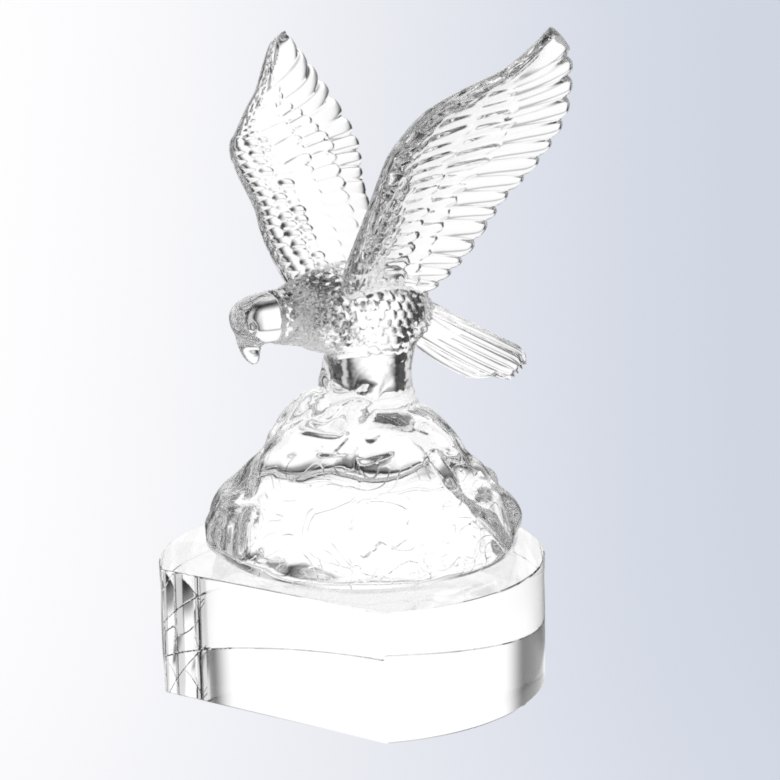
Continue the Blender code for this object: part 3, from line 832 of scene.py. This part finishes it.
# %% [markdown]
# ## Wings
#
# Each wing is a thin lens of glass, full at its leading edge and sharp at the back. Its outline comes from
# the measured front and back lines. On it lie rows of coverts, small as beads at the front and longer
# behind, and then the flight feathers, which fan out towards the tip and end in scallops.
#
# Feathers could be separate pieces, but pressed glass has them all in one skin. So the mesh of the wing is
# laid out along the feathers: its lines run through each one from root to tip, and where two feathers meet
# a line of points follows the cut, which keeps it crisp without a very fine mesh.

# %% Wing plane and feather lines
SHOULDER, WING_REACH = 118.0, 76.0
# How far out the wing lies at the shoulder, and what each reach of height and its square add to that
WING_LEAN = (13.0, 62.1, -7.8)
# How strongly the feather lines fan out, and how many times the usual lines the last feather gets
FAN, TIP_ROWS = 1.0, 3
CHANCE_STEP, CHANCE_SCALE = 12.9898, 43758.5453


def wing_side(height):
    """How far the wing's middle lies from the bird's middle plane at this height."""
    rise = (height - SHOULDER) / WING_REACH
    return WING_LEAN[0] + WING_LEAN[1] * rise + WING_LEAN[2] * rise**2


def fanned(flow, across):
    """The part of the wing's length that a feather line reaches between the leading edge and the back."""
    return flow - FAN * (1.0 - across) * flow**2 * np.sqrt(1.0 - flow)


def feather_lines(notches, along):
    """Lines of the skin laid evenly through each flight feather, and closer through the long last one."""
    last = len(notches) - 2
    ends = np.arange(len(notches), dtype=float)
    ends[-1] += TIP_ROWS - 1
    place = np.interp(along, ends / ends[-1], np.arange(len(notches)))
    feather = np.minimum(place.astype(int), last)
    share = place - feather
    share = np.where(feather == last, 1.0 - (1.0 - share) ** 2, share)
    start, end = np.array(notches)[feather], np.array(notches)[feather + 1]
    return start + (end - start) * share


def chance(number):
    """A repeatable number from 0 to 1 for each whole number, as uneven as a hand-cut mould."""
    return np.abs(np.sin(number * CHANCE_STEP) * CHANCE_SCALE) % 1.0


print("wing leans out", wing_side(SHOULDER), "to", wing_side(SHOULDER + WING_REACH), "mm")

# %% Feathers on a wing
# How much tips and heights differ from feather to feather, and how soft the edge of a tip is
RAGGED, UNEVEN, TIP_SOFT = 0.03, 0.8, 0.014
ROW_SHIFT = 17.0
# Where a flight feather drops to the next one, and how full a bead is
STEP_EDGE, BEAD_SHAPE = 0.8, 0.7
SHORTEST = 1e-3


def feather_map(part, across, flow, rows, notches, strength):
    """Heights in millimetres of rows of feathers that overlap from the leading edge to the back."""
    tips = [np.interp(part, *np.array(row["tips"]).T) for row in rows]
    height = np.zeros_like(part)
    for k, row in enumerate(rows):
        root = tips[k + 1] if k + 1 < len(rows) else np.zeros_like(part)
        if row["width"]:
            column = (part if row["bead"] else flow) / row["width"] + 0.5 * (k % 2)
        else:
            column = np.interp(flow, notches, np.arange(len(notches)))
        uneven = (chance(np.floor(column) + ROW_SHIFT * k) - 0.5) * (k > 0)
        off = column % 1.0 - 0.5
        reach = tips[k] + RAGGED * uneven - row["bow"] * (2 * off) ** 2
        share = np.clip((across - root) / np.maximum(reach - root, SHORTEST), 0.0, 1.0)
        crown = 1.0 - (2 * off) ** 2
        step = column % 1.0 * ease(column % 1.0, 1.0, STEP_EDGE)
        if row["bead"]:
            one = row["lift"] * share + row["crown"] * crown * (4 * share * (1.0 - share)) ** BEAD_SHAPE
        else:
            one = strength * (row["lift"] * share + row["crown"] * crown + row["step"] * step)
        one = one * (1.0 + UNEVEN * uneven)
        height = height + (one - height) * ease(across, reach + TIP_SOFT, reach)
    return height


def row(tips, width, lift, crown, step=0.0, bow=0.07, bead=False):
    """One row of feathers: where its tips lie, its feather width, and its heights in millimetres."""
    return dict(tips=tips, width=width, lift=lift, crown=crown, step=step, bow=bow, bead=bead)


beads = row(((0, 1.0), (1, 1.0)), 0.5, 0.0, 1.0, bow=0.0, bead=True)
sample = np.array([0.0, 0.125, 0.25])
print("a bead from edge to middle:", feather_map(sample, np.full(3, 0.5), sample, [beads], (0, 1), 1.0))

# %% [markdown]
# ## The skin of a wing
#
# The skin goes once round the wing: over the face that the camera sees, from the leading edge to the back,
# and home over the hidden face, which gets fewer points and shallower feathers. Two flat sheets with a rim
# could do it, but would need thickness and edges of their own. The root is pushed into the body, so that
# the union of both has no gap.

# %% Wing skin
WING_ROOT_HALF, WING_TIP_HALF = 3.6, 1.5
WING_CAMBER = 3.0
# The section: how blunt its edges are, its fullness in front, and how much less it has behind
EDGE_FULLNESS, FRONT_FULLNESS, BACK_LOSS = 0.36, 1.35, 0.75
# The tip starts to round off here, and scallops and feathers fade out before it
TIP_FROM, SCALLOPS_TO, FEATHERS_TO = 0.985, 0.96, 0.97
# The shape of the notch between two scallops, and how close to the back it stays
SCALLOP_SHAPE, SCALLOP_HOLD = 2.5, 4
# The share of the points on the face that shows, and the height and start of the feathers on the other
SHOWN_SHARE, HIDDEN_RELIEF, HIDDEN_FROM = 0.68, 0.35, (0.3, 0.45)
# How deep the feathers are sunk, and the half thickness under which they get lower
SUNK, THIN_HALF = 0.4, 0.7
# The root's rounding, and the share of width and thickness that it keeps
ROOT_ROUND, ROOT_WIDTH, ROOT_THICKNESS = 0.06, (0.88, 0.12), (0.4, 0.6)
# The last ring at the root goes down and inwards, and gets smaller
ROOT_DROP, ROOT_INWARD, ROOT_SHRINK = 7.0, 8.0, 0.8


def wing_skin(front, back, side, steps, rows, notches, shown, scallops, strength):
    """The wing's skin: thickness, camber, lean, scallops and feathers."""
    def place(along, around):
        # Which face a point is on, how far it is from the leading edge, and which feather line it follows
        face = np.where(around < SHOWN_SHARE, shown, -shown)
        fold = np.where(around < SHOWN_SHARE, around / SHOWN_SHARE, (1.0 - around) / (1.0 - SHOWN_SHARE))
        across = 0.5 * (0.5 - 0.5 * np.cos(math.pi * fold)) + 0.5 * fold
        flow = feather_lines(notches, np.clip((along * steps - 1.0) / (steps - 1.0), 0.0, 1.0))
        part = fanned(flow, across)
        # The outline, with a notch between each flight feather and the next, and rounded at tip and root
        lead, trail = by_length(front, part), by_length(back, part)
        column = np.interp(flow, notches, np.arange(len(notches)))
        notch = np.abs(2 * (column % 1.0) - 1.0) ** SCALLOP_SHAPE * np.interp(flow, *np.array(scallops).T)
        notch = notch * across**SCALLOP_HOLD * ease(part, 1.0, SCALLOPS_TO)
        inward = unit(lead - trail) * notch[:, None]
        tip = np.sqrt(1.0 - np.clip((part - TIP_FROM) / (1.0 - TIP_FROM), 0.0, 1.0) ** 2)
        foot = np.sqrt(1.0 - np.clip(1.0 - part / ROOT_ROUND, 0.0, 1.0) ** 2)
        middle = (lead + trail) / 2
        narrow = tip * (ROOT_WIDTH[0] + ROOT_WIDTH[1] * foot)
        lead, trail = (middle + (edge - middle) * narrow[:, None] for edge in (lead, trail))
        # Thickness, and the feathers on it
        thick = WING_ROOT_HALF + (WING_TIP_HALF - WING_ROOT_HALF) * part
        thick = thick * tip * (ROOT_THICKNESS[0] + ROOT_THICKNESS[1] * foot)
        section = (4 * across * (1.0 - across)) ** EDGE_FULLNESS
        half = thick * section * (FRONT_FULLNESS - BACK_LOSS * across)
        strong = np.interp(part, *np.array(strength).T)
        relief = feather_map(part, across, flow, rows, notches, strong) - SUNK
        relief = relief * np.minimum(half / THIN_HALF, 1.0) * ease(part, 1.0, FEATHERS_TO)
        relief = relief * np.where(face == shown, 1.0, HIDDEN_RELIEF * ease(across, *HIDDEN_FROM))
        # The place in the leaning wing, square to its slope
        spot = lead + (trail - lead) * across[:, None] + inward * tip[:, None]
        slope = wing_side(spot[:, 1] + 1.0) - wing_side(spot[:, 1])
        out = unit(np.stack([np.ones_like(slope), -slope], axis=-1))
        out = out * ((half + relief) * face - WING_CAMBER * np.sin(math.pi * across))[:, None]
        aside = side * (wing_side(spot[:, 1]) + out[:, 0])
        spot = np.stack([spot[:, 0], aside, spot[:, 1] + out[:, 1]], axis=-1)
        root = along < 0.5 / steps
        inside = side * (WING_LEAN[0] - ROOT_INWARD) + spot[:, 1] - side * wing_side(spot[:, 2])
        sunk = np.stack([spot[:, 0] * ROOT_SHRINK, inside, spot[:, 2] - ROOT_DROP], axis=-1)
        return np.where(root[:, None], sunk, spot)
    return place


print("wing from", 2 * WING_ROOT_HALF, "to", 2 * WING_TIP_HALF, "mm thick")

# %% Outlines of both wings
# Leading edge and back of each wing, forward and height, from the shoulder to the tip
LEFT_FRONT = (
    (16.0, 117.5), (18.8, 123.3), (20.3, 131.2), (22.0, 146.5), (23.2, 159.5), (21.2, 166.2), (16.6, 172.9),
    (6.6, 178.1), (-3.6, 182.0), (-10.8, 187.0), (-15.4, 190.8), (-18.4, 192.4),
)
LEFT_BACK = (
    (-17.4, 114.4), (-23.4, 125.7), (-25.6, 136.0), (-27.0, 143.7), (-31.8, 151.4), (-34.6, 160.3),
    (-35.0, 168.0), (-32.4, 175.5), (-29.0, 182.1), (-25.0, 187.7), (-20.4, 191.5),
)
RIGHT_FRONT = (
    (16.5, 115.0), (18.2, 122.0), (18.9, 132.0), (17.7, 139.0), (18.7, 148.0), (18.8, 153.0), (17.0, 156.8),
    (13.8, 159.5), (6.8, 165.9), (0.8, 171.0), (-5.8, 178.8), (-10.0, 183.2), (-12.8, 185.0),
)
RIGHT_BACK = (
    (-17.4, 113.0), (-21.0, 124.0), (-22.6, 134.3), (-24.4, 143.0), (-28.0, 151.5), (-28.0, 158.5),
    (-26.2, 165.4), (-23.6, 172.4), (-21.2, 178.0), (-18.4, 182.6), (-15.2, 185.2),
)
# Where the flight feathers part, as shares of the back's length
LEFT_NOTCHES = (
    0.0, 0.05, 0.10, 0.146, 0.213, 0.285, 0.335, 0.393, 0.456, 0.527, 0.59, 0.657, 0.741, 0.824, 0.905, 1.0,
)
RIGHT_NOTCHES = (
    0.0, 0.07, 0.14, 0.21, 0.28, 0.34, 0.39, 0.444, 0.506, 0.569, 0.64, 0.724, 0.795, 0.868, 0.94, 1.0,
)
print(len(LEFT_NOTCHES) - 1, "flight feathers on each wing")

# %% Rows of feathers
# Rows from the flight feathers to the beads; tips lie at shares of the width for shares of the length
LEFT_ROWS = (
    row(((0, 2.0), (1, 2.0)), None, 0.15, 0.15, 0.7, 0.0),
    row(((0, 0.76), (0.05, 0.74), (0.11, 0.65), (0.36, 0.62), (0.5, 0.645), (0.56, 0.65), (0.64, 0.59),
         (0.72, 0.46), (0.774, 0.37), (0.85, 0.2)), 0.055, 0.45, 0.15, 0.5),
    row(((0, 0.6), (0.075, 0.56), (0.14, 0.47), (0.36, 0.45), (0.48, 0.39), (0.57, 0.39), (0.62, 0.33),
         (0.68, 0.24), (0.75, 0.16)), 0.055, 0.5, 0.15, 0.45),
    row(((0, 0.28), (0.18, 0.275), (0.3, 0.262), (0.38, 0.245), (0.45, 0.22), (0.55, 0.12)),
        0.034, 0.45, 0.4, bow=0.03, bead=True),
    row(((0, 0.2), (0.18, 0.19), (0.3, 0.18), (0.38, 0.176), (0.45, 0.163), (0.55, 0.105)),
        0.034, 0.45, 0.4, bow=0.03, bead=True),
    row(((0, 0.13), (0.15, 0.12), (0.23, 0.10), (0.31, 0.10), (0.38, 0.12), (0.47, 0.13), (0.55, 0.105),
         (0.68, 0.15), (0.81, 0.2), (0.95, 0.33), (1, 0.4)), 0.040, 0.3, 0.3, bow=0.01, bead=True),
)
RIGHT_ROWS = (
    row(((0, 2.0), (1, 2.0)), None, 0.15, 0.15, 0.75, 0.0),
    row(((0, 0.76), (0.37, 0.757), (0.44, 0.75), (0.515, 0.69), (0.58, 0.556), (0.678, 0.31), (0.75, 0.2)),
        0.055, 0.7, 0.2, 0.5),
    row(((0, 0.5), (0.4, 0.51), (0.45, 0.515), (0.53, 0.423), (0.57, 0.326), (0.63, 0.26), (0.73, 0.26),
         (0.8, 0.15)), 0.055, 0.8, 0.2, 0.45),
    row(((0, 0.34), (0.13, 0.33), (0.2, 0.32), (0.42, 0.3), (0.494, 0.23), (0.523, 0.16), (0.56, 0.1)),
        0.031, 0.45, 0.75, bow=0.03, bead=True),
    row(((0, 0.23), (0.2, 0.22), (0.42, 0.2), (0.494, 0.16), (0.523, 0.12), (0.56, 0.08)),
        0.031, 0.45, 0.75, bow=0.03, bead=True),
    row(((0, 0.12), (0.2, 0.11), (0.42, 0.10), (0.494, 0.08), (0.523, 0.06), (0.56, 0.04)),
        0.031, 0.4, 0.65, bow=0.02, bead=True),
)
# Depth of the scallops and strength of the feathers, by share of the length
LEFT_SCALLOPS = ((0.0, 2.0), (1.0, 2.2))
RIGHT_SCALLOPS = ((0.0, 0.3), (0.40, 0.5), (0.50, 2.0), (1.0, 2.4))
LEFT_STRENGTH = ((0.0, 1.0), (1.0, 1.0))
RIGHT_STRENGTH = ((0.0, 0.3), (0.25, 0.3), (0.42, 1.0), (1.0, 1.0))
print(len(LEFT_ROWS), "rows of feathers on each wing")

# %% Wings
WING_STEPS, WING_SIDES = 192, 124
WING_ROUNDING = 0.3

wings = []
# Side of the bird, and the face that shows: the left wing's outer one and the right wing's inner one
for name, front, rear, side, shown, rows, notches, scallops, strength in (
    ("left_wing", LEFT_FRONT, LEFT_BACK, 1.0, 1.0, LEFT_ROWS, LEFT_NOTCHES, LEFT_SCALLOPS, LEFT_STRENGTH),
    ("right_wing", RIGHT_FRONT, RIGHT_BACK, -1.0, -1.0, RIGHT_ROWS, RIGHT_NOTCHES, RIGHT_SCALLOPS,
     RIGHT_STRENGTH),
):
    wing = bmesh.new()
    shape = wing_skin(front, rear, side, WING_STEPS, rows, notches, shown, scallops, strength)
    rolled(wing, WING_STEPS, WING_SIDES, shape)
    soften(wing, wing.verts, WING_ROUNDING)
    bmesh.ops.triangulate(wing, faces=wing.faces)
    wings.append(mesh_from(wing, name))
    print(name, len(wings[-1].data.vertices), "points")

# %% [markdown]
# ## Tail
#
# The tail is a flat fan of seven feathers, rolled so that its left edge is the higher one. It thins from
# its root to a rounded end, and a groove runs between each feather and the next. A flat bar with cuts would
# look stiff, so it is one more rolled skin, with its section given below: the two feathers at its right
# edge lie under the others, and are thinner and shorter.

# %% Tail
TAIL_ROOT = ((-16.0, 8.0, 112.8), (-17.0, -8.0, 101.0))
TAIL_END = ((-57.5, 9.8, 90.2), (-57.0, -9.8, 75.6))
# The end rounds off from the first share of its length, and would close at the second
TAIL_ROUND = (0.84, 1.04)
TAIL_BULGE = 2.6
TAIL_ROOT_HALF, TAIL_END_HALF = 2.0, 1.0
# Height of a feather's crown, its shape and the level that is neither raised nor cut, and its side step
TAIL_RELIEF, CROWN_SHAPE, CROWN_LEVEL, TAIL_STEP = 1.4, 0.7, 0.7, 0.9
TAIL_CUT_FROM = (0.0, 0.9)
TAIL_SCALLOP, TAIL_SCALLOP_FROM = 2.4, (0.75, 1.0)
# Where the tail's feathers meet, from the right edge at -1 to the left edge at 1
TAIL_SEAMS = (-1.0, -0.72, -0.50, -0.22, 0.08, 0.38, 0.70, 1.0)
# The feathers that lie under the others: how many, and how much shorter, thinner and less cut they are
UNDER_FEATHERS, UNDER_EDGE, UNDER_FROM = 2, 0.06, (0.1, 0.3)
UNDER_SHORT, UNDER_DEEP, UNDER_CALM = 5.0, 0.6, 0.6
TAIL_GRID = (70, 120)


def tail_skin(along, around):
    """The tail fan, from its root inside the body to its rounded end."""
    turn = 2 * math.pi * around
    left_edge, right_edge = (
        np.outer(1.0 - along, root) + np.outer(along, end) for root, end in zip(TAIL_ROOT, TAIL_END)
    )
    out = unit(left_edge - right_edge)
    right_edge = right_edge - out * (TAIL_BULGE * np.sin(math.pi * along))[:, None]
    rounding = np.maximum(along - TAIL_ROUND[0], 0.0) / (TAIL_ROUND[1] - TAIL_ROUND[0])
    middle = (left_edge + right_edge) / 2
    half = (left_edge - right_edge) / 2 * np.sqrt(1.0 - rounding**2)[:, None]
    lead = unit(np.array(TAIL_END[0]) - np.array(TAIL_ROOT[0]))
    face = np.cross(lead, out)
    column = np.interp(np.cos(turn), TAIL_SEAMS, np.arange(len(TAIL_SEAMS)))
    off = column % 1.0 - 0.5
    crown = (1.0 - (2 * off) ** 2) ** CROWN_SHAPE
    under = ease(column, UNDER_FEATHERS + UNDER_EDGE, UNDER_FEATHERS - UNDER_EDGE) * ease(along, *UNDER_FROM)
    thick = TAIL_ROOT_HALF + (TAIL_END_HALF - TAIL_ROOT_HALF) * along - UNDER_DEEP * under
    cut = (TAIL_RELIEF * (crown - CROWN_LEVEL) + TAIL_STEP * off) * ease(along, *TAIL_CUT_FROM)
    thick = thick + cut * (1.0 - UNDER_CALM * under)
    short = TAIL_SCALLOP * (1.0 - crown) ** 2 * ease(along, *TAIL_SCALLOP_FROM) + UNDER_SHORT * under * along
    return (middle + half * np.cos(turn)[:, None] + face * (thick * np.sin(turn))[:, None]
            - lead * short[:, None])


tail = bmesh.new()
rolled(tail, *TAIL_GRID, tail_skin)
bmesh.ops.triangulate(tail, faces=tail.faces)
wings.append(mesh_from(tail, "tail"))
print("tail", len(wings[-1].data.vertices), "points")

# %% [markdown]
# ## One casting
#
# A seam of glass inside glass would show as a wall of mirrors. So wings and tail are united with the body
# into one closed skin. Another remesh could do it, but would round off the feathers; Booleans keep every
# cut. The rock has more small faces than its soft lumps need, so it is thinned first. Then the skin is
# moved from the bird's frame to its place on the base.

# %% Union
BIRD_HEADING = math.radians(-110.0)
ROCK_CENTRE = 8.0
CAST_SHARP_ANGLE = 50.0
ROCK_TOP, ROCK_THINNING = 76.0, 0.5

bmesh.ops.triangulate(skin, faces=skin.faces)
body = mesh_from(skin, "body")
rock = body.vertex_groups.new(name="rock")
rock.add([vert.index for vert in body.data.vertices if vert.co.z < ROCK_TOP], 1.0, "REPLACE")
thin = body.modifiers.new("fewer_rock_faces", "DECIMATE")
thin.ratio = ROCK_THINNING
thin.vertex_group = rock.name
for helper in wings:
    union = body.modifiers.new(helper.name, "BOOLEAN")
    union.operation = "UNION"
    union.object = helper
    union.solver = "MANIFOLD"
whole = bmesh.new()
whole.from_mesh(take_result(body, *wings))
to_base = Matrix.Scale(MM, 4) @ Matrix.Translation((0.0, ROCK_CENTRE, 0.0))
to_base = to_base @ Matrix.Rotation(BIRD_HEADING, 4, "Z")
bmesh.ops.transform(whole, verts=whole.verts, matrix=to_base)
open_edges = [edge for edge in whole.edges if not edge.is_manifold]
eagle = make_piece("eagle_casting", whole, cast_glass, CAST_SHARP_ANGLE)
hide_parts("eagle_on_rock")
print("casting", len(eagle.data.polygons), "faces,", len(open_edges), "open edges")
